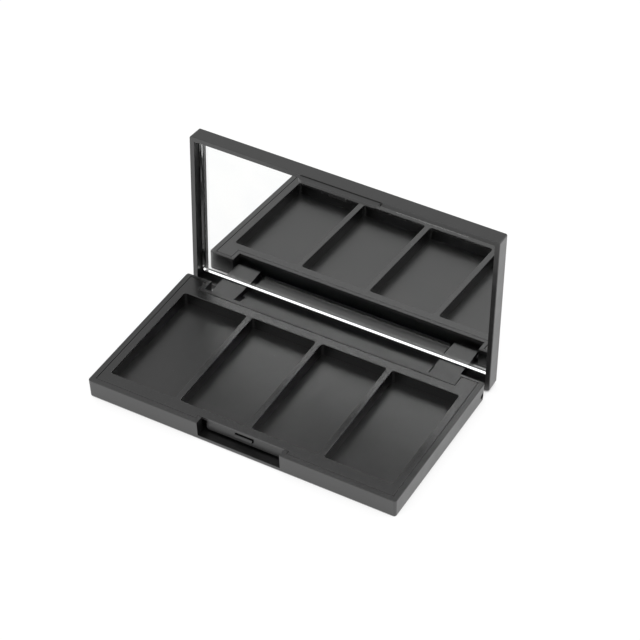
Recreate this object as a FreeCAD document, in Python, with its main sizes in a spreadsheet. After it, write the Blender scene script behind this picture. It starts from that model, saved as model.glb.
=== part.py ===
import FreeCAD, Part
import Sketcher
import math
import os

# Slim eyeshadow palette: a moulded base with a press-in tray of open wells, and
# a mirrored lid on two short hinge pins. Millimetres, +Z up, front towards -Y.
# The origin is the middle of the underside. The lid is drawn shut, about the
# hinge axis as its own origin, and stands open in its Placement.

WELL_COUNT = 4
QUARTER_TURN = math.pi / 2

SIZES = {
    # wells for the colour pans
    "well_width": 24.1,
    "well_length": 44.5,
    "well_depth": 4.5,
    "well_corner": 1.0,
    "well_wall": 0.9,
    "well_floor": 0.8,
    "divider_width": 2.1,
    "side_margin": 4.65,
    "front_margin": 6.4,
    "rear_margin": 9.1,
    # base shell
    "floor_thick": 0.8,
    "under_gap": 0.9,
    "rim_width": 1.9,
    "rear_wall": 1.0,
    "case_corner": 0.8,
    "wall_draft": 2.0,
    "rim_round": 0.25,
    "foot_round": 0.5,
    # tray
    "tray_gap": 0.15,
    "tray_top": 1.0,
    "tray_round": 0.2,
    "skirt_thick": 0.9,
    "ear_drop": 2.8,
    "bay_length": 5.8,
    "bay_wall": 1.35,
    # finger notch, catch plate and catch
    "notch_width": 30.0,
    "notch_sill": 1.45,
    "return_width": 1.4,
    "lip_setback": 3.3,
    "lip_overhang": 0.25,
    "plate_inset": 1.3,
    "plate_drop": 4.7,
    "plate_corner": 0.9,
    "plate_lean": 0.7,
    "catch_width": 6.2,
    "catch_height": 1.1,
    "catch_reach": 0.5,
    "catch_drop": 2.4,
    "window_gap": 0.35,
    "window_depth": 0.4,
    # hinge
    "axis_inset": 1.6,
    "lug_rear": 1.5,
    "lug_front": 1.95,
    "lug_corner": 1.4,
    "floor_gap": 0.12,
    "ear_width": 8.0,
    "bracket_width": 1.25,
    "lug_width": 9.2,
    "lug_gap": 0.8,
    "lug_taper": 0.4,
    "flap_gap": 1.25,
    "pin_radius": 0.75,
    "pin_running_gap": 0.05,
    "pin_press": 0.01,
    "pin_inset": 1.0,
    "pin_recess": 0.9,
    "pin_chamfer": 0.15,
    "mouth_radius": 1.1,
    "open_angle": 93.0,
    "swing_gap": 0.05,
    # lid
    "rim_gap": 0.15,
    "lid_wall": 1.7,
    "lid_top": 1.25,
    "lid_round": 0.4,
    "tongue_drop": 2.4,
    "tongue_thick": 1.0,
    "tongue_setback": 0.4,
    "tongue_corner": 2.0,
    "tongue_gap": 0.4,
    "hook_height": 0.9,
    "hook_clearance": 0.12,
    # mirror
    "mirror_recess": 2.85,
    "mirror_gap": 0.3,
    "mirror_corner": 1.0,
    "glass_thick": 1.35,
    "glass_arris": 0.15,
    "tape_thick": 0.35,
    "tape_margin": 2.0,
}


def cell(name):
    return "Sizes." + name


def total(*terms):
    return "(" + " + ".join(terms) + ")"


def less(first, *terms):
    return "(" + " - ".join((first,) + terms) + ")"


def minus(term):
    return "(-1 * " + term + ")"


def half(term):
    return "(" + term + " / 2)"


# Overall sizes follow from the wells and from the layers stacked up.
WELLS_WIDTH = "(%d * Sizes.well_width + %d * Sizes.divider_width)" % (WELL_COUNT, WELL_COUNT - 1)
WELL_PITCH = total(cell("well_width"), cell("divider_width"))
CASE_WIDTH = total(WELLS_WIDTH, "2 * Sizes.side_margin")
CASE_DEPTH = total(cell("front_margin"), cell("well_length"), cell("rear_margin"))
BASE_HEIGHT = total(cell("floor_thick"), cell("under_gap"), cell("well_floor"), cell("well_depth"))
SIDE = half(CASE_WIDTH)
REAR = half(CASE_DEPTH)
FRONT = minus(REAR)
DRAFT_INSET = "(%s * tan(Sizes.wall_draft * 1 deg))" % BASE_HEIGHT

# Base shell and tray
CAVITY_SIDE = less(SIDE, cell("rim_width"))
CAVITY_FRONT = total(FRONT, cell("rim_width"))
CAVITY_REAR = less(REAR, cell("rear_wall"))
NOTCH_SIDE = half(cell("notch_width"))
RETURN_SIDE = total(NOTCH_SIDE, cell("return_width"))
TRAY_SIDE = less(CAVITY_SIDE, cell("tray_gap"))
TRAY_FRONT = total(CAVITY_FRONT, cell("tray_gap"))
TRAY_REAR = less(CAVITY_REAR, cell("tray_gap"))
TRAY_UNDER_TOP = less(BASE_HEIGHT, cell("tray_top"))
STEP_SIDE = total(RETURN_SIDE, cell("tray_gap"))
LIP = total(FRONT, cell("lip_setback"))
EAR_SIDE = less(SIDE, cell("ear_width"))
BAY = less(REAR, cell("bay_length"))
WELL_FRONT = total(FRONT, cell("front_margin"))
WELL_REAR = total(WELL_FRONT, cell("well_length"))
PLATE_FACE = total(LIP, cell("lip_overhang"))
CATCH_TOP = less(BASE_HEIGHT, cell("catch_drop"))
CATCH_TIP = less(PLATE_FACE, cell("catch_reach"))

# Hinge, in a bay across the rear that is open at the back
AXIS_Y = less(REAR, cell("axis_inset"))
AXIS_Z = total(cell("floor_thick"), cell("floor_gap"), cell("lug_rear"))
BAY_SIDE = less(EAR_SIDE, cell("tray_gap"), cell("bracket_width"))
BAY_FRONT = total(BAY, cell("tray_gap"), cell("bay_wall"))
LUG_OUTER = less(BAY_SIDE, cell("lug_gap"))
LUG_INNER = less(LUG_OUTER, cell("lug_width"))
FLAP_SIDE = less(LUG_INNER, cell("flap_gap"))
PIN_OUTER = less(SIDE, cell("pin_recess"))
PIN_INNER = total(LUG_INNER, cell("pin_inset"))

# Lid, measured from the hinge axis with the lid shut
LID_RIM = less(total(BASE_HEIGHT, cell("rim_gap")), AXIS_Z)
LID_GLASS = total(LID_RIM, cell("mirror_recess"))
LID_TAPE = total(LID_GLASS, cell("glass_thick"))
LID_CEILING = total(LID_TAPE, cell("tape_thick"))
LID_TOP = total(LID_CEILING, cell("lid_top"))
LID_REAR = cell("axis_inset")
LID_FRONT = less(LID_REAR, CASE_DEPTH)
LID_CAVITY_SIDE = less(SIDE, cell("lid_wall"))
LID_CAVITY_FRONT = total(LID_FRONT, cell("lid_wall"))
LID_CAVITY_REAR = less(LID_REAR, cell("lid_wall"))
MIRROR_SIDE = less(LID_CAVITY_SIDE, cell("mirror_gap"))
MIRROR_FRONT = total(LID_CAVITY_FRONT, cell("mirror_gap"))
MIRROR_REAR = minus(total(cell("lug_front"), cell("mirror_gap")))
TONGUE_SIDE = less(NOTCH_SIDE, cell("tongue_gap"))
TONGUE_TIP = less(LID_RIM, cell("tongue_drop"))
TONGUE_FACE = total(LID_FRONT, cell("tongue_setback"))
TONGUE_BACK = total(TONGUE_FACE, cell("tongue_thick"))
HOOK_TIP = less(CATCH_TIP, AXIS_Y, cell("hook_clearance"))

doc = FreeCAD.newDocument("eyeshadow_palette")
sizes = doc.addObject("Spreadsheet::Sheet", "Sizes")
for row, (alias, size) in enumerate(SIZES.items(), start=1):
    sizes.set("A%d" % row, alias)
    sizes.set("B%d" % row, str(size))
    sizes.setAlias("B%d" % row, alias)
doc.recompute()


def value(expression):
    return float(sizes.evalExpression(expression))


def new_body(label):
    body = doc.addObject("PartDesign::Body", label)
    body.Label = label
    return body


def new_sketch(body, name, plane="XY_Plane", lift="0"):
    """Sketch on one of the body's origin planes, lifted along the plane's normal."""
    sketch = body.newObject("Sketcher::SketchObject", name)
    for origin_feature in body.Origin.OriginFeatures:
        if origin_feature.Role == plane:
            sketch.AttachmentSupport = (origin_feature, "")
    sketch.MapMode = "FlatFace"
    sketch.setExpression("AttachmentOffset.Base.z", lift)
    return sketch


def place(sketch, kind, item, point, expression):
    """Hold one point of a sketch at a distance from the sketch's origin."""
    constraint = Sketcher.Constraint(kind, -1, 1, item, point, value(expression))
    index = sketch.addConstraint(constraint)
    sketch.setExpression("Constraints[%d]" % index, expression)


def hold_radius(sketch, item, expression):
    index = sketch.addConstraint(Sketcher.Constraint("Radius", item, value(expression)))
    sketch.setExpression("Constraints[%d]" % index, expression)


def polygon(sketch, corners):
    points = []
    for across, along in corners:
        points.append(FreeCAD.Vector(value(across), value(along), 0))
    lines = []
    for start, end in zip(points, points[1:] + points[:1]):
        lines.append(sketch.addGeometry(Part.LineSegment(start, end)))
    for line, following in zip(lines, lines[1:] + lines[:1]):
        sketch.addConstraint(Sketcher.Constraint("Coincident", line, 2, following, 1))
    for line, (across, along) in zip(lines, corners):
        place(sketch, "DistanceX", line, 1, across)
        place(sketch, "DistanceY", line, 1, along)


def rectangle(sketch, left, right, low, high):
    polygon(sketch, [(left, low), (right, low), (right, high), (left, high)])


def rounded_rectangle(sketch, left, right, low, high, radius):
    corner = value(radius)
    x_low, x_high = value(left), value(right)
    y_low, y_high = value(low), value(high)
    ends = [
        ((x_low + corner, y_low), (x_high - corner, y_low)),
        ((x_high, y_low + corner), (x_high, y_high - corner)),
        ((x_high - corner, y_high), (x_low + corner, y_high)),
        ((x_low, y_high - corner), (x_low, y_low + corner)),
    ]
    centres = [
        (x_high - corner, y_low + corner),
        (x_high - corner, y_high - corner),
        (x_low + corner, y_high - corner),
        (x_low + corner, y_low + corner),
    ]
    lines = []
    arcs = []
    up = FreeCAD.Vector(0, 0, 1)
    for turn, ((start, end), centre) in enumerate(zip(ends, centres)):
        segment = Part.LineSegment(FreeCAD.Vector(*start, 0), FreeCAD.Vector(*end, 0))
        lines.append(sketch.addGeometry(segment))
        circle_of_corner = Part.Circle(FreeCAD.Vector(*centre, 0), up, corner)
        arc = Part.ArcOfCircle(circle_of_corner, (turn - 1) * QUARTER_TURN, turn * QUARTER_TURN)
        arcs.append(sketch.addGeometry(arc))
    for line, arc, following in zip(lines, arcs, lines[1:] + lines[:1]):
        sketch.addConstraint(Sketcher.Constraint("Tangent", line, 2, arc, 1))
        sketch.addConstraint(Sketcher.Constraint("Tangent", arc, 2, following, 1))
    for line, direction in zip(lines, ("Horizontal", "Vertical", "Horizontal", "Vertical")):
        sketch.addConstraint(Sketcher.Constraint(direction, line))
    for arc in arcs[1:]:
        sketch.addConstraint(Sketcher.Constraint("Equal", arcs[0], arc))
    hold_radius(sketch, arcs[0], radius)
    place(sketch, "DistanceY", lines[0], 1, low)
    place(sketch, "DistanceX", lines[1], 1, right)
    place(sketch, "DistanceY", lines[2], 1, high)
    place(sketch, "DistanceX", lines[3], 1, left)


def circle(sketch, across, along, radius):
    centre = FreeCAD.Vector(value(across), value(along), 0)
    ring = sketch.addGeometry(Part.Circle(centre, FreeCAD.Vector(0, 0, 1), value(radius)))
    hold_radius(sketch, ring, radius)
    place(sketch, "DistanceX", ring, 3, across)
    place(sketch, "DistanceY", ring, 3, along)


def extrude(body, kind, sketch, length, reverse=False, midplane=False):
    """Pad or Pocket of a sketch by a length. A Pocket must take material away."""
    doc.recompute()
    before = body.Shape.Volume if kind == "Pocket" else 0
    feature = body.newObject("PartDesign::" + kind, sketch.Name + "_" + kind.lower())
    feature.Profile = sketch
    feature.setExpression("Length", length)
    feature.Reversed = reverse
    feature.Midplane = midplane
    sketch.Visibility = False
    doc.recompute()
    if kind == "Pocket" and body.Shape.Volume > before - 1e-6:
        raise RuntimeError(sketch.Name + " cuts nothing")
    return feature


def mirror_across(body, feature):
    """The same feature on the other side of the middle plane."""
    mirrored = body.newObject("PartDesign::Mirrored", feature.Name + "_mirrored")
    mirrored.Originals = [feature]
    for origin_feature in body.Origin.OriginFeatures:
        if origin_feature.Role == "YZ_Plane":
            mirrored.MirrorPlane = (origin_feature, [""])
    body.Tip = mirrored
    doc.recompute()
    return mirrored


def edges_at_height(shape, height):
    names = []
    for number, edge in enumerate(shape.Edges, start=1):
        box = edge.BoundBox
        if max(abs(box.ZMin - height), abs(box.ZMax - height)) < 1e-4:
            names.append("Edge%d" % number)
    return names


def dress(body, kind, name, height, size_property, size):
    """Fillet or Chamfer on every edge that lies level at a height."""
    doc.recompute()
    base = body.Tip
    feature = body.newObject("PartDesign::" + kind, name)
    feature.Base = (base, edges_at_height(base.Shape, value(height)))
    feature.setExpression(size_property, size)
    doc.recompute()
    return feature


def make_base_shell():
    body = new_body("base_shell")
    foot = new_sketch(body, "base_outline")
    rounded_rectangle(
        foot,
        total(minus(SIDE), DRAFT_INSET),
        less(SIDE, DRAFT_INSET),
        total(FRONT, DRAFT_INSET),
        less(REAR, DRAFT_INSET),
        cell("case_corner"),
    )
    block = extrude(body, "Pad", foot, BASE_HEIGHT)
    block.setExpression("TaperAngle", cell("wall_draft"))
    dress(body, "Fillet", "rim_edge", BASE_HEIGHT, "Radius", cell("rim_round"))
    dress(body, "Fillet", "foot_edge", "0", "Radius", cell("foot_round"))

    # The tray drops into a cavity of its own outline, which leaves a thick rear part and
    # a short return at each end of the notch.
    cavity = new_sketch(body, "base_cavity", lift=BASE_HEIGHT)
    tray_outline(cavity, minus(cell("tray_gap")))
    extrude(body, "Pocket", cavity, less(BASE_HEIGHT, cell("floor_thick")))
    notch = new_sketch(body, "finger_notch", lift=BASE_HEIGHT)
    rectangle(notch, minus(NOTCH_SIDE), NOTCH_SIDE, less(FRONT, cell("rim_width")), LIP)
    extrude(body, "Pocket", notch, less(BASE_HEIGHT, cell("notch_sill")))

    # The lid's lugs and flap turn in a bay cut in from the rear. A thin wall divides it from
    # the tray, and a bracket stands at each end.
    bay = new_sketch(body, "hinge_bay", lift=BASE_HEIGHT)
    rectangle(bay, minus(BAY_SIDE), BAY_SIDE, BAY_FRONT, total(REAR, cell("rear_wall")))
    extrude(body, "Pocket", bay, less(BASE_HEIGHT, cell("floor_thick")))

    # Each pin is pushed in through the side wall and held there and in the bracket.
    pin_bore = new_sketch(body, "pin_bore", "YZ_Plane", SIDE)
    circle(pin_bore, AXIS_Y, AXIS_Z, less(cell("pin_radius"), cell("pin_press")))
    bore_length = less(SIDE, less(BAY_SIDE, half(cell("lug_gap"))))
    mirror_across(body, extrude(body, "Pocket", pin_bore, bore_length))
    pin_mouth = new_sketch(body, "pin_mouth", "YZ_Plane", SIDE)
    circle(pin_mouth, AXIS_Y, AXIS_Z, cell("mouth_radius"))
    mirror_across(body, extrude(body, "Pocket", pin_mouth, cell("pin_recess")))

    # The rear edge is relieved on an arc about the hinge, so the lid's rim swings past.
    relief = new_sketch(body, "swing_relief", "YZ_Plane")
    swing_arc(relief)
    extrude(body, "Pocket", relief, total(CASE_WIDTH, cell("rim_width")), midplane=True)
    return body


def swing_arc(sketch):
    """Area outside the lid rim's turning circle, above and behind the hinge axis."""
    reach = less(LID_RIM, cell("swing_gap"))
    beyond = total(AXIS_Y, reach)
    above = total(AXIS_Z, reach)
    centre = FreeCAD.Vector(value(AXIS_Y), value(AXIS_Z), 0)
    around = Part.Circle(centre, FreeCAD.Vector(0, 0, 1), value(reach))
    arc = sketch.addGeometry(Part.ArcOfCircle(around, 0, QUARTER_TURN))
    top = FreeCAD.Vector(value(AXIS_Y), value(above), 0)
    outer = FreeCAD.Vector(value(beyond), value(above), 0)
    end = FreeCAD.Vector(value(beyond), value(AXIS_Z), 0)
    level = sketch.addGeometry(Part.LineSegment(top, outer))
    upright = sketch.addGeometry(Part.LineSegment(outer, end))
    sketch.addConstraint(Sketcher.Constraint("Tangent", arc, 2, level, 1))
    sketch.addConstraint(Sketcher.Constraint("Coincident", level, 2, upright, 1))
    sketch.addConstraint(Sketcher.Constraint("Tangent", upright, 2, arc, 1))
    sketch.addConstraint(Sketcher.Constraint("Horizontal", level))
    sketch.addConstraint(Sketcher.Constraint("Vertical", upright))
    hold_radius(sketch, arc, reach)
    place(sketch, "DistanceX", arc, 3, AXIS_Y)
    place(sketch, "DistanceY", arc, 3, AXIS_Z)


def tray_outline(sketch, inset):
    """The tray's plan, drawn in from its edge: ears at the rear, a step for the notch in front."""
    side = less(TRAY_SIDE, inset)
    front = total(TRAY_FRONT, inset)
    lip = total(LIP, inset)
    step = total(STEP_SIDE, inset)
    ear_rear = less(TRAY_REAR, inset)
    ear_side = total(EAR_SIDE, inset)
    bay = less(BAY, inset)
    right_half = [
        (step, lip),
        (step, front),
        (side, front),
        (side, ear_rear),
        (ear_side, ear_rear),
        (ear_side, bay),
    ]
    left_half = [(minus(across), along) for across, along in reversed(right_half)]
    polygon(sketch, right_half + left_half)


def make_pan_tray():
    body = new_body("pan_tray")
    outline = new_sketch(body, "tray_outline", lift=cell("floor_thick"))
    tray_outline(outline, "0")
    extrude(body, "Pad", outline, less(BASE_HEIGHT, cell("floor_thick")))
    hollow = new_sketch(body, "tray_hollow", lift=cell("floor_thick"))
    tray_outline(hollow, cell("skirt_thick"))
    extrude(body, "Pocket", hollow, less(TRAY_UNDER_TOP, cell("floor_thick")), reverse=True)

    # One block under the plate holds the row of wells.
    block = new_sketch(body, "well_block", lift=total(cell("floor_thick"), cell("under_gap")))
    block_side = total(half(WELLS_WIDTH), cell("well_wall"))
    rectangle(
        block,
        minus(block_side),
        block_side,
        less(WELL_FRONT, cell("well_wall")),
        total(WELL_REAR, cell("well_wall")),
    )
    extrude(body, "Pad", block, less(BASE_HEIGHT, cell("floor_thick"), cell("under_gap")))
    well = new_sketch(body, "well", lift=BASE_HEIGHT)
    first = minus(half(WELLS_WIDTH))
    rounded_rectangle(
        well, first, total(first, cell("well_width")), WELL_FRONT, WELL_REAR, cell("well_corner")
    )
    first_well = extrude(body, "Pocket", well, cell("well_depth"))
    row = body.newObject("PartDesign::LinearPattern", "well_row")
    row.Originals = [first_well]
    row.Direction = (well, ["H_Axis"])
    row.setExpression("Length", "%d * %s" % (WELL_COUNT - 1, WELL_PITCH))
    row.Occurrences = WELL_COUNT
    body.Tip = row
    doc.recompute()
    dress(body, "Fillet", "tray_edges", BASE_HEIGHT, "Radius", cell("tray_round"))

    # The pins pass under the ears, so the skirt stops short there.
    ears = new_sketch(body, "ear_clearance", lift=half(cell("floor_thick")))
    for inner, outer in ((EAR_SIDE, SIDE), (minus(SIDE), minus(EAR_SIDE))):
        rectangle(
            ears,
            less(inner, cell("tray_gap")),
            total(outer, cell("tray_gap")),
            total(BAY, cell("skirt_thick")),
            REAR,
        )
    ear_height = less(BASE_HEIGHT, cell("ear_drop"), half(cell("floor_thick")))
    extrude(body, "Pocket", ears, ear_height, reverse=True)
    make_catch_plate(body)
    return body


def make_catch_plate(body):
    """The plate that hangs in the finger notch, with the catch in a small window."""
    opening = new_sketch(body, "notch_opening", "XZ_Plane", less(cell("tray_gap"), LIP))
    rectangle(opening, minus(STEP_SIDE), STEP_SIDE, half(cell("floor_thick")), TRAY_UNDER_TOP)
    extrude(body, "Pocket", opening, total(cell("skirt_thick"), "2 * Sizes.tray_gap"))
    plate_side = less(NOTCH_SIDE, cell("plate_inset"))
    plate_foot = less(BASE_HEIGHT, cell("plate_drop"))
    plate = new_sketch(body, "catch_plate", "XZ_Plane", minus(PLATE_FACE))
    rounded_rectangle(
        plate,
        minus(plate_side),
        plate_side,
        plate_foot,
        less(BASE_HEIGHT, cell("tray_round")),
        cell("plate_corner"),
    )
    extrude(body, "Pad", plate, total(cell("skirt_thick"), cell("plate_lean")), reverse=True)
    # The plate leans back from its foot, so its face looks up a little.
    lean = new_sketch(body, "plate_lean", "YZ_Plane")
    before = less(PLATE_FACE, cell("tray_gap"))
    polygon(
        lean,
        [
            (before, plate_foot),
            (PLATE_FACE, plate_foot),
            (total(PLATE_FACE, cell("plate_lean")), TRAY_UNDER_TOP),
            (before, TRAY_UNDER_TOP),
        ],
    )
    extrude(body, "Pocket", lean, "2 * (%s)" % plate_side, midplane=True)
    window = new_sketch(body, "catch_window", "XZ_Plane", minus(PLATE_FACE))
    window_side = total(half(cell("catch_width")), cell("window_gap"))
    rectangle(
        window,
        minus(window_side),
        window_side,
        less(CATCH_TOP, cell("catch_height")),
        total(CATCH_TOP, cell("window_gap")),
    )
    extrude(body, "Pocket", window, total(cell("window_depth"), cell("plate_lean")))
    catch = new_sketch(body, "catch", "YZ_Plane")
    root = total(PLATE_FACE, cell("skirt_thick"), half(cell("plate_lean")))
    catch_bottom = less(CATCH_TOP, cell("catch_height"))
    polygon(
        catch,
        [
            (root, catch_bottom),
            (root, CATCH_TOP),
            (PLATE_FACE, CATCH_TOP),
            (CATCH_TIP, less(CATCH_TOP, half(cell("catch_height")))),
            (CATCH_TIP, total(catch_bottom, "Sizes.catch_height / 4")),
            (PLATE_FACE, catch_bottom),
        ],
    )
    extrude(body, "Pad", catch, cell("catch_width"), midplane=True)


def open_on_hinge(body):
    """Stand a piece of the lid open about the hinge axis."""
    body.Placement = FreeCAD.Placement(
        FreeCAD.Vector(0, value(AXIS_Y), value(AXIS_Z)),
        FreeCAD.Rotation(FreeCAD.Vector(-1, 0, 0), value(cell("open_angle"))),
    )
    body.setExpression("Placement.Base.y", AXIS_Y)
    body.setExpression("Placement.Base.z", AXIS_Z)
    body.setExpression("Placement.Rotation.Angle", cell("open_angle") + " * 1 deg")


def make_lid_shell():
    body = new_body("lid_shell")
    outline = new_sketch(body, "lid_outline", lift=LID_RIM)
    rounded_rectangle(outline, minus(SIDE), SIDE, LID_FRONT, LID_REAR, cell("case_corner"))
    block = extrude(body, "Pad", outline, less(LID_TOP, LID_RIM))
    block.setExpression("TaperAngle", minus(cell("wall_draft")))
    dress(body, "Fillet", "lid_rim_edge", LID_RIM, "Radius", cell("rim_round"))
    dress(body, "Fillet", "lid_top_edge", LID_TOP, "Radius", cell("lid_round"))
    cavity = new_sketch(body, "lid_cavity", lift=LID_RIM)
    rectangle(
        cavity, minus(LID_CAVITY_SIDE), LID_CAVITY_SIDE, LID_CAVITY_FRONT, LID_CAVITY_REAR
    )
    extrude(body, "Pocket", cavity, less(LID_CEILING, LID_RIM), reverse=True)

    # Between the lugs a flap closes the bay at the back when the lid is shut.
    flap = new_sketch(body, "rear_flap", "YZ_Plane")
    flap_profile(flap)
    extrude(body, "Pad", flap, "2 * " + FLAP_SIDE, midplane=True)

    # Two lugs reach down from the rear wall, with a rounded end round the pin. Their rear
    # faces lie down on the base's floor when the lid is open, and stop it there.
    lug = new_sketch(body, "hinge_lug", "YZ_Plane", LUG_INNER)
    rounded_rectangle(
        lug,
        minus(cell("lug_front")),
        cell("lug_rear"),
        minus(cell("lug_rear")),
        less(LID_TOP, cell("lid_round")),
        cell("lug_corner"),
    )
    mirror_across(body, extrude(body, "Pad", lug, cell("lug_width")))
    taper = new_sketch(body, "lug_taper", "XZ_Plane", cell("lug_front"))
    lug_end = minus(total(cell("lug_rear"), cell("floor_gap")))
    for edge, inward in ((LUG_OUTER, "-1"), (LUG_INNER, "1")):
        tip = total(edge, "%s * Sizes.lug_taper" % inward)
        polygon(taper, [(edge, LID_RIM), (tip, lug_end), (less(edge, inward), lug_end)])
    mirror_across(body, extrude(body, "Pocket", taper, total(cell("lug_front"), cell("lug_rear"))))
    lug_bore = new_sketch(body, "lug_bore", "YZ_Plane")
    circle(lug_bore, "0", "0", total(cell("pin_radius"), cell("pin_running_gap")))
    extrude(body, "Pocket", lug_bore, CASE_WIDTH, midplane=True)

    # The tongue drops into the finger notch, and its hook stops short of the catch.
    tongue = new_sketch(body, "tongue", "XZ_Plane", minus(TONGUE_FACE))
    rounded_rectangle(
        tongue,
        minus(TONGUE_SIDE),
        TONGUE_SIDE,
        TONGUE_TIP,
        total(LID_RIM, cell("mirror_recess")),
        cell("tongue_corner"),
    )
    extrude(body, "Pad", tongue, cell("tongue_thick"), reverse=True)
    hook = new_sketch(body, "tongue_hook", "YZ_Plane")
    hook_root = less(TONGUE_BACK, half(cell("tongue_thick")))
    polygon(
        hook,
        [
            (hook_root, TONGUE_TIP),
            (TONGUE_BACK, TONGUE_TIP),
            (HOOK_TIP, total(TONGUE_TIP, half(cell("hook_height")))),
            (HOOK_TIP, total(TONGUE_TIP, cell("hook_height"))),
            (hook_root, total(TONGUE_TIP, cell("hook_height"))),
        ],
    )
    extrude(body, "Pad", hook, cell("catch_width"), midplane=True)
    open_on_hinge(body)
    return body


def flap_profile(sketch):
    """The rear wall carried on below the rim, with its end turned about the hinge axis."""
    front = LID_CAVITY_REAR
    rear = cell("lug_rear")
    left = value(front)
    radius = value(rear)
    top = value(LID_CEILING)
    start = math.atan2(-math.sqrt(radius**2 - left**2), left)
    around = Part.Circle(FreeCAD.Vector(0, 0, 0), FreeCAD.Vector(0, 0, 1), radius)
    arc = sketch.addGeometry(Part.ArcOfCircle(around, start, 0))
    tip = FreeCAD.Vector(left, radius * math.sin(start), 0)
    corners = [
        FreeCAD.Vector(radius, 0, 0),
        FreeCAD.Vector(radius, top, 0),
        FreeCAD.Vector(left, top, 0),
        tip,
    ]
    lines = []
    for begin, end in zip(corners, corners[1:]):
        lines.append(sketch.addGeometry(Part.LineSegment(begin, end)))
    rear_line, top_line, front_line = lines
    sketch.addConstraint(Sketcher.Constraint("Tangent", arc, 2, rear_line, 1))
    sketch.addConstraint(Sketcher.Constraint("Coincident", rear_line, 2, top_line, 1))
    sketch.addConstraint(Sketcher.Constraint("Coincident", top_line, 2, front_line, 1))
    sketch.addConstraint(Sketcher.Constraint("Coincident", front_line, 2, arc, 1))
    sketch.addConstraint(Sketcher.Constraint("Vertical", rear_line))
    sketch.addConstraint(Sketcher.Constraint("Horizontal", top_line))
    sketch.addConstraint(Sketcher.Constraint("Vertical", front_line))
    sketch.addConstraint(Sketcher.Constraint("Coincident", arc, 3, -1, 1))
    hold_radius(sketch, arc, rear)
    place(sketch, "DistanceX", front_line, 1, front)
    place(sketch, "DistanceY", front_line, 1, LID_CEILING)


def make_mirror():
    body = new_body("mirror")
    pane = new_sketch(body, "mirror_pane", lift=LID_GLASS)
    rounded_rectangle(
        pane, minus(MIRROR_SIDE), MIRROR_SIDE, MIRROR_FRONT, MIRROR_REAR, cell("mirror_corner")
    )
    extrude(body, "Pad", pane, cell("glass_thick"))
    dress(body, "Chamfer", "mirror_arris", LID_GLASS, "Size", cell("glass_arris"))
    open_on_hinge(body)
    return body


def make_mirror_tape():
    body = new_body("mirror_tape")
    sheet = new_sketch(body, "tape_sheet", lift=LID_TAPE)
    rectangle(
        sheet,
        minus(less(MIRROR_SIDE, cell("tape_margin"))),
        less(MIRROR_SIDE, cell("tape_margin")),
        total(MIRROR_FRONT, cell("tape_margin")),
        less(MIRROR_REAR, cell("tape_margin")),
    )
    extrude(body, "Pad", sheet, cell("tape_thick"))
    open_on_hinge(body)
    return body


def make_hinge_pin(label, turn):
    """A straight pin with chamfered ends, turned half round for the other side."""
    body = new_body(label)
    profile = new_sketch(body, label + "_profile")
    radius = cell("pin_radius")
    bevel = cell("pin_chamfer")
    polygon(
        profile,
        [
            (PIN_INNER, "0"),
            (PIN_OUTER, "0"),
            (PIN_OUTER, less(radius, bevel)),
            (less(PIN_OUTER, bevel), radius),
            (total(PIN_INNER, bevel), radius),
            (PIN_INNER, less(radius, bevel)),
        ],
    )
    doc.recompute()
    turned = body.newObject("PartDesign::Revolution", label + "_turned")
    turned.Profile = profile
    turned.ReferenceAxis = (profile, ["H_Axis"])
    turned.Angle = 360
    profile.Visibility = False
    body.Placement = FreeCAD.Placement(
        FreeCAD.Vector(0, value(AXIS_Y), value(AXIS_Z)),
        FreeCAD.Rotation(FreeCAD.Vector(0, 0, 1), turn),
    )
    body.setExpression("Placement.Base.y", AXIS_Y)
    body.setExpression("Placement.Base.z", AXIS_Z)
    doc.recompute()
    return body


pieces = [
    make_base_shell(),
    make_pan_tray(),
    make_hinge_pin("hinge_pin_right", 0),
    make_hinge_pin("hinge_pin_left", 180),
    make_lid_shell(),
    make_mirror(),
    make_mirror_tape(),
]
doc.recompute()

for item in doc.Objects:
    if "Invalid" in item.State or "Error" in item.State:
        raise RuntimeError(item.Name + " did not build")
os.makedirs("parts", exist_ok=True)
for piece in pieces:
    if piece.Shape.isNull() or not piece.Shape.isValid():
        raise RuntimeError(piece.Label + " has no valid shape")
    piece.Shape.exportStep("parts/%s.step" % piece.Label)
    print(piece.Label, "solids", len(piece.Shape.Solids), "volume", round(piece.Shape.Volume, 1))
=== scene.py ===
"""Looks of an eyeshadow palette case with a mirror in its lid:
studio, camera, materials and the mirror glass."""
import math

import bmesh
import bpy
from mathutils import Matrix, Vector


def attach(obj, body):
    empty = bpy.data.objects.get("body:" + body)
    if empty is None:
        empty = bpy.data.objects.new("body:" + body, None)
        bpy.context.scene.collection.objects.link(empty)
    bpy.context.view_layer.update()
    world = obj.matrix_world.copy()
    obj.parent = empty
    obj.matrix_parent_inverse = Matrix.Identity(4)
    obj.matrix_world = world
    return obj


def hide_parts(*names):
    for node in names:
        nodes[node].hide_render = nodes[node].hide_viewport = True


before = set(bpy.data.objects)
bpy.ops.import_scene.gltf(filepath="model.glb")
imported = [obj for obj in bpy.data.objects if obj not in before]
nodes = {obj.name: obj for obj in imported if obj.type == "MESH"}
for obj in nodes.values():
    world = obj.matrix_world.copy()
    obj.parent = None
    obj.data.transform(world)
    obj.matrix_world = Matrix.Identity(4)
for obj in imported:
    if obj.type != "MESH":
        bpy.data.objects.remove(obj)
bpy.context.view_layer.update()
scene = bpy.context.scene

MM = 0.001
PLASTIC_IOR, GLASS_IOR = 1.75, 1.5
RIM_LOW, RIM_HIGH = 6.1, 6.6            # the tray's finish changes between these heights, in mm
DUST_GREY, DUST_SHARE = 0.30, 0.3
WORN_HIGHLIGHT_GREY, WORN_HIGHLIGHT_SHARE = 0.12, 0.30      # paler edges: partly wear, partly a painted highlight


def grey(level):
    return (level, level, level, 1.0)


WHITE = grey(1.0)


# Node helpers

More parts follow.
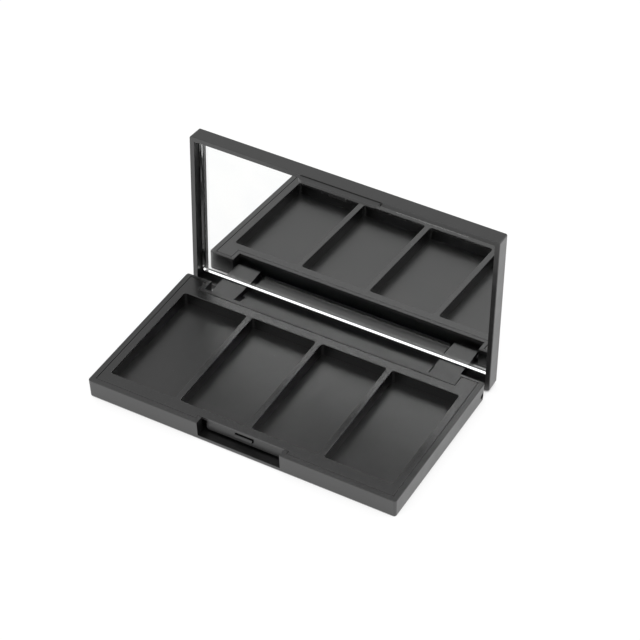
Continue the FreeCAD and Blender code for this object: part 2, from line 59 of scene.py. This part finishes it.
class Nodes:
    """A short way to add and link shader nodes in one tree."""

    def __init__(self, tree):
        self.tree = tree
        tree.nodes.clear()

    def add(self, kind, inputs=None, **settings):
        node = self.tree.nodes.new(kind)
        for name, value in settings.items():
            setattr(node, name, value)
        for key, value in (inputs or {}).items():
            self.put(node.inputs[key], value)
        return node

    def put(self, socket, value):
        if isinstance(value, bpy.types.NodeSocket):
            self.tree.links.new(value, socket)
        else:
            socket.default_value = value

    def math(self, operation, a, b):
        return self.add("ShaderNodeMath", {0: a, 1: b}, operation=operation).outputs[0]

    def span(self, value, low, high, out_low, out_high):
        """value from low..high to out_low..out_high, held at the ends and eased."""
        node = self.add("ShaderNodeMapRange", {
            "Value": value, "From Min": low, "From Max": high, "To Min": out_low, "To Max": out_high},
            interpolation_type="SMOOTHSTEP")
        return node.outputs["Result"]

    def blend(self, share, a, b):
        """A colour mixed from a to b."""
        return self.add("ShaderNodeMix", {0: share, 6: a, 7: b}, data_type="RGBA").outputs[2]

    def noise(self, place, scale, detail=3.0, rough=0.55, stretch=None):
        if stretch:
            place = self.add("ShaderNodeVectorMath", {0: place, 1: stretch}, operation="MULTIPLY").outputs[0]
        node = self.add("ShaderNodeTexNoise", {
            "Vector": place, "Scale": scale, "Detail": detail, "Roughness": rough})
        return node.outputs["Fac"]

    def surface(self, shader):
        self.add("ShaderNodeOutputMaterial", {"Surface": shader})


def new_material(name):
    material = bpy.data.materials.new(name)
    material.use_nodes = True
    return material, Nodes(material.node_tree)


def millimetres(n):
    """The piece's own place in millimetres, so a pattern has its real size and rides with the piece."""
    place = n.add("ShaderNodeTexCoord").outputs["Object"]
    return n.add("ShaderNodeVectorMath", {0: place, "Scale": 1.0 / MM}, operation="SCALE").outputs[0]


def dust(n, place, cells, size, kept):
    """Sparse specks: 1 on a speck.

    cells is per mm, size is a share of a cell, kept is the share of cells with a speck."""
    node = n.add("ShaderNodeTexVoronoi", {"Vector": place, "Scale": cells, "Randomness": 1.0})
    near = n.span(node.outputs["Distance"], size * 0.5, size, 1.0, 0.0)
    pick = n.add("ShaderNodeSeparateColor", {0: node.outputs["Color"]}).outputs[0]
    return n.math("MULTIPLY", near, n.math("LESS_THAN", pick, kept))


# Materials

def moulded_plastic(name, dark, light, rough, grain, matt=0.0):
    """Satin black moulded plastic: fine grain, cloudy handling marks, a little dust, paler edges that are
    partly wear and partly a painted highlight.

    dark and light are the greys it drifts between, rough is the range of its roughness, grain is the
    strength of its fine bump, and matt is added to the roughness below the rim."""
    material, n = new_material(name)
    mm = millimetres(n)
    cloud = n.noise(mm, 0.11, 4.0, 0.6)
    smear = n.noise(mm, 0.5, 3.0, 0.6, (1.0, 0.35, 1.0))
    fine = n.noise(mm, 5.0, 2.0, 0.5)
    haze = n.math("ADD", n.math("MULTIPLY", cloud, 0.65), n.math("MULTIPLY", smear, 0.35))
    colour = n.blend(n.span(haze, 0.36, 0.66, 0.0, 1.0), grey(dark), grey(light))
    speck = n.math("MAXIMUM", dust(n, mm, 0.16, 0.022, 0.5), dust(n, mm, 0.33, 0.03, 0.25))
    colour = n.blend(n.math("MULTIPLY", speck, DUST_SHARE), colour, grey(DUST_GREY))
    # paler edges, partly wear and partly a painted highlight: a rounded normal leaves the true one only
    # beside an edge, and inside corners are left out
    face = n.add("ShaderNodeNewGeometry").outputs["Normal"]
    soft = n.add("ShaderNodeBevel", {"Radius": 0.35 * MM}, samples=4).outputs[0]
    turn = n.add("ShaderNodeVectorMath", {0: face, 1: soft}, operation="DOT_PRODUCT").outputs["Value"]
    open_sky = n.add("ShaderNodeAmbientOcclusion", {"Distance": 0.8 * MM}, samples=4).outputs["AO"]
    outer = n.span(open_sky, 0.72, 0.9, 0.0, 1.0)
    wear_and_highlight = n.math("MULTIPLY", n.span(turn, 0.995, 0.86, 0.0, WORN_HIGHLIGHT_SHARE), outer)
    wear_and_highlight = n.math("MULTIPLY", wear_and_highlight, n.span(smear, 0.3, 0.6, 0.5, 0.6))
    colour = n.blend(wear_and_highlight, colour, grey(WORN_HIGHLIGHT_GREY))
    # the mould is polished at the rim and left matt down in the wells
    patch = n.math("ADD", haze, n.math("MULTIPLY", fine, 0.12))
    height = n.add("ShaderNodeSeparateXYZ", {0: mm}).outputs["Z"]
    gloss = n.math("ADD", n.span(patch, 0.38, 0.72, *rough), n.span(height, RIM_LOW, RIM_HIGH, matt, 0.0))
    bump = n.add("ShaderNodeBump", {"Strength": grain, "Distance": 0.03 * MM, "Height": fine})
    shader = n.add("ShaderNodeBsdfPrincipled", {
        "Base Color": colour, "Roughness": gloss, "IOR": PLASTIC_IOR, "Normal": bump.outputs[0]})
    n.surface(shader.outputs[0])
    return material


def drawn_steel():
    """Hinge pin wire: dark drawn steel with lines along the pin and a fine scale."""
    material, n = new_material("pin_steel")
    mm = millimetres(n)
    lines = n.noise(mm, 9.0, 2.0, 0.5, (0.05, 1.0, 1.0))
    spots = n.noise(mm, 1.6, 3.0, 0.6)
    colour = n.blend(n.span(spots, 0.35, 0.7, 0.0, 1.0),
                     (0.10, 0.10, 0.105, 1.0), (0.18, 0.18, 0.185, 1.0))
    rough = n.span(lines, 0.3, 0.7, 0.24, 0.42)
    bump = n.add("ShaderNodeBump", {"Strength": 0.25, "Distance": 0.01 * MM, "Height": lines})
    shader = n.add("ShaderNodeBsdfPrincipled", {
        "Base Color": colour, "Metallic": 1.0, "Roughness": rough, "Normal": bump.outputs[0]})
    n.surface(shader.outputs[0])
    return material


def foam_tape():
    """Double-sided foam tape behind the mirror: off-white, open cells, with painted shade down in the cell
    pits.
    """
    material, n = new_material("tape_foam")
    mm = millimetres(n)
    cells = n.add("ShaderNodeTexVoronoi", {"Vector": mm, "Scale": 3.2}).outputs["Distance"]
    tone = n.noise(mm, 0.3, 3.0)
    colour = n.blend(n.span(tone, 0.3, 0.7, 0.0, 1.0), (0.62, 0.60, 0.56, 1.0), (0.74, 0.72, 0.68, 1.0))
    # darker down in the cell pits: painted shade
    colour = n.blend(n.span(cells, 0.0, 0.35, 0.35, 0.0), colour, (0.35, 0.34, 0.31, 1.0))
    bump = n.add("ShaderNodeBump", {"Strength": 0.5, "Distance": 0.08 * MM, "Height": cells})
    shader = n.add("ShaderNodeBsdfPrincipled", {
        "Base Color": colour, "Roughness": n.span(tone, 0.3, 0.7, 0.8, 0.95), "Normal": bump.outputs[0]})
    n.surface(shader.outputs[0])
    return material


def clear_glass(n, colour, rough):
    shader = n.add("ShaderNodeBsdfPrincipled", {
        "Base Color": colour, "Roughness": rough, "IOR": GLASS_IOR, "Transmission Weight": 1.0})
    n.surface(shader.outputs[0])


def mirror_face():
    """The clear front of the mirror: float glass with a trace of haze from wiping."""
    material, n = new_material("mirror_glass")
    wipe = n.noise(millimetres(n), 0.06, 3.0, 0.6, (1.0, 1.0, 0.4))
    colour = n.blend(n.span(wipe, 0.3, 0.7, 0.0, 1.0), (0.985, 0.992, 0.988, 1.0), WHITE)
    clear_glass(n, colour, n.span(wipe, 0.62, 0.9, 0.0, 0.012))
    return material


def cut_edge():
    """The cut and ground edge of the glass: clear, with a slight frost."""
    material, n = new_material("mirror_edge")
    frost = n.noise(millimetres(n), 2.2, 3.0, 0.6)
    colour = n.blend(n.span(frost, 0.3, 0.7, 0.0, 1.0), (0.96, 0.985, 0.975, 1.0), WHITE)
    clear_glass(n, colour, n.span(frost, 0.3, 0.7, 0.03, 0.10))
    return material


def silvering():
    """The silvered back of the mirror."""
    material, n = new_material("mirror_silver")
    tone = n.noise(millimetres(n), 0.08, 2.0)
    colour = n.blend(n.span(tone, 0.3, 0.7, 0.0, 1.0), (0.955, 0.96, 0.96, 1.0), (0.975, 0.975, 0.97, 1.0))
    shader = n.add("ShaderNodeBsdfPrincipled", {
        "Base Color": colour, "Metallic": 1.0, "Roughness": n.span(tone, 0.3, 0.7, 0.0, 0.01)})
    n.surface(shader.outputs[0])
    return material


def dress(node, material):
    for slot in nodes[node].material_slots:
        slot.material = material
    if not nodes[node].material_slots:
        nodes[node].data.materials.append(material)


case_plastic = moulded_plastic("case_plastic", 0.005, 0.012, rough=(0.29, 0.37), grain=0.04)
tray_plastic = moulded_plastic("tray_plastic", 0.003, 0.007, rough=(0.21, 0.255), grain=0.012, matt=0.085)
steel = drawn_steel()
for name in ("base_shell", "lid_shell"):
    dress(name, case_plastic)
dress("pan_tray", tray_plastic)
dress("hinge_pin_left", steel)
dress("hinge_pin_right", steel)
dress("mirror_tape", foam_tape())


# Mirror glass: the same outline and arris as its solid, with a clear front, a silvered back and a cut edge.
# Sizes are in mm, in the closed lid's place about the hinge axis. The back stands just off the tape.

OPEN_ANGLE = math.radians(93.0)
AXIS = Vector((0.0, 28.4, 2.42))
GLASS_X, GLASS_REAR, GLASS_FRONT = 54.0, -2.25, -56.4
GLASS_OUT, GLASS_BACK = 7.58, 8.91
CORNER, ARRIS = 1.0, 0.15
CORNER_STEPS = 6


def glass_ring(inset, height):
    """The mirror's outline with rounded corners at one height."""
    ring = []
    r = CORNER - inset
    mid_y = (GLASS_REAR + GLASS_FRONT) / 2
    half_y = (GLASS_REAR - GLASS_FRONT) / 2
    for sx, sy, first in ((1, 1, 0), (-1, 1, 90), (-1, -1, 180), (1, -1, 270)):
        cx, cy = sx * (GLASS_X - CORNER), mid_y + sy * (half_y - CORNER)
        for step in range(CORNER_STEPS + 1):
            a = math.radians(first + 90 / CORNER_STEPS * step)
            ring.append(Vector((cx + r * math.cos(a), cy + r * math.sin(a), height)))
    return ring


def make_mirror():
    turn = Matrix.Rotation(-OPEN_ANGLE, 4, "X")
    bm = bmesh.new()
    rings = [[bm.verts.new((turn @ p + AXIS) * MM) for p in glass_ring(inset, height)]
             for inset, height in ((ARRIS, GLASS_OUT), (0.0, GLASS_OUT + ARRIS), (0.0, GLASS_BACK))]
    bm.faces.new(rings[0])
    bm.faces.new(rings[2]).material_index = 1
    count = len(rings[0])
    for low, high in zip(rings, rings[1:]):
        for i in range(count):
            j = (i + 1) % count
            bm.faces.new((low[i], low[j], high[j], high[i])).material_index = 2
    bmesh.ops.recalc_face_normals(bm, faces=bm.faces)
    mesh = bpy.data.meshes.new("mirror_pane")
    bm.to_mesh(mesh)
    bm.free()
    pane = bpy.data.objects.new("mirror_pane", mesh)
    scene.collection.objects.link(pane)
    for material in (mirror_face(), silvering(), cut_edge()):
        mesh.materials.append(material)
    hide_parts("mirror")
    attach(pane, "lid")


make_mirror()


# Floor, world and lights

FLOOR_HALF = 3.0
FLOOR_GREY = 0.80                       # what the floor throws back as light
FLOOR_SEEN = (0.94, 0.12)               # own white and share of light, as the camera sees it
FLOOR_MIRRORED = (0.76, 0.65)           # the same, as the plastic reflects it
SKY_FRONT_REAR = (-0.3, 0.6)
SKY_LIGHT = (0.70, 0.45)                # front to rear
SKY_MIRRORED = (0.80, 0.70)


def seen_directly(n, path):
    return n.math("MAXIMUM", path["Is Camera Ray"], path["Is Transmission Ray"])


def make_floor():
    bm = bmesh.new()
    bmesh.ops.create_grid(bm, x_segments=1, y_segments=1, size=FLOOR_HALF)
    mesh = bpy.data.meshes.new("floor")
    bm.to_mesh(mesh)
    bm.free()
    floor = bpy.data.objects.new("floor", mesh)
    scene.collection.objects.link(floor)
    material, n = new_material("floor_white")
    path = n.add("ShaderNodeLightPath").outputs
    # ambient occlusion dims the floor's own white: painted shade in gaps and at contact
    near = n.add("ShaderNodeAmbientOcclusion", {"Distance": 12.0 * MM}, samples=8).outputs["AO"]
    clear = n.span(near, 0.05, 0.6, 0.08, 1.0)

    def paper(white, share):
        """White of its own with a share of the light on it; it keeps the shadow, and its own white is dimmed
        by occlusion as painted shade in a gap and at contact.
        """
        glow = n.add("ShaderNodeEmission", {"Color": WHITE, "Strength": n.math("MULTIPLY", clear, white)})
        lit = n.add("ShaderNodeBsdfDiffuse", {"Color": grey(share)})
        return n.add("ShaderNodeAddShader", {0: glow.outputs[0], 1: lit.outputs[0]}).outputs[0]

    plain = n.add("ShaderNodeBsdfDiffuse", {"Color": grey(FLOOR_GREY)}).outputs[0]
    gloss = n.add("ShaderNodeMixShader", {0: path["Is Glossy Ray"], 1: plain, 2: paper(*FLOOR_MIRRORED)})
    shown = n.add("ShaderNodeMixShader", {
        0: seen_directly(n, path), 1: gloss.outputs[0], 2: paper(*FLOOR_SEEN)})
    n.surface(shown.outputs[0])
    mesh.materials.append(material)


def make_world():
    world = bpy.data.worlds.new("studio")
    world.use_nodes = True
    scene.world = world
    n = Nodes(world.node_tree)
    path = n.add("ShaderNodeLightPath").outputs
    way = n.add("ShaderNodeSeparateXYZ", {0: n.add("ShaderNodeTexCoord").outputs["Generated"]}).outputs["Y"]
    level = n.add("ShaderNodeMix", {
        0: path["Is Glossy Ray"],
        2: n.span(way, *SKY_FRONT_REAR, *SKY_LIGHT),
        3: n.span(way, *SKY_FRONT_REAR, *SKY_MIRRORED)}).outputs[0]
    level = n.add("ShaderNodeMix", {0: seen_directly(n, path), 2: level, 3: 1.0}).outputs[0]
    sky = n.add("ShaderNodeBackground", {"Color": WHITE, "Strength": level})
    n.add("ShaderNodeOutputWorld", {"Surface": sky.outputs[0]})


def softbox(name, place, aim, width, height, watts):
    light = bpy.data.lights.new(name, "AREA")
    light.shape = "RECTANGLE"
    light.size, light.size_y, light.energy = width, height, watts
    obj = bpy.data.objects.new(name, light)
    scene.collection.objects.link(obj)
    obj.location = place
    obj.rotation_euler = (Vector(aim) - Vector(place)).to_track_quat("-Z", "Y").to_euler()


make_floor()
make_world()
softbox("key", (-0.25, -0.55, 0.75), (0.0, 0.0, 0.02), width=0.7, height=0.5, watts=0.7)
softbox("side", (0.55, 0.45, 0.60), (0.10, 0.10, 0.0), width=0.6, height=0.5, watts=1.2)


# Camera at the photograph's view

def make_camera():
    data = bpy.data.cameras.new("camera")
    data.sensor_width = 36.0
    data.lens = 132.54
    data.shift_x, data.shift_y = -0.0709, -0.0089
    data.clip_start = 0.01
    obj = bpy.data.objects.new("camera", data)
    scene.collection.objects.link(obj)
    right = Vector((0.874937, 0.484232, -0.002198))
    up = Vector((-0.320801, 0.583031, 0.746432))
    back = Vector((0.362728, -0.652376, 0.665458))
    turn = Matrix((right, up, back)).transposed().to_4x4()
    obj.matrix_world = Matrix.Translation((0.287915, -0.46574, 0.523163)) @ turn
    scene.camera = obj


make_camera()
scene.view_settings.view_transform = "Standard"

bpy.context.view_layer.update()
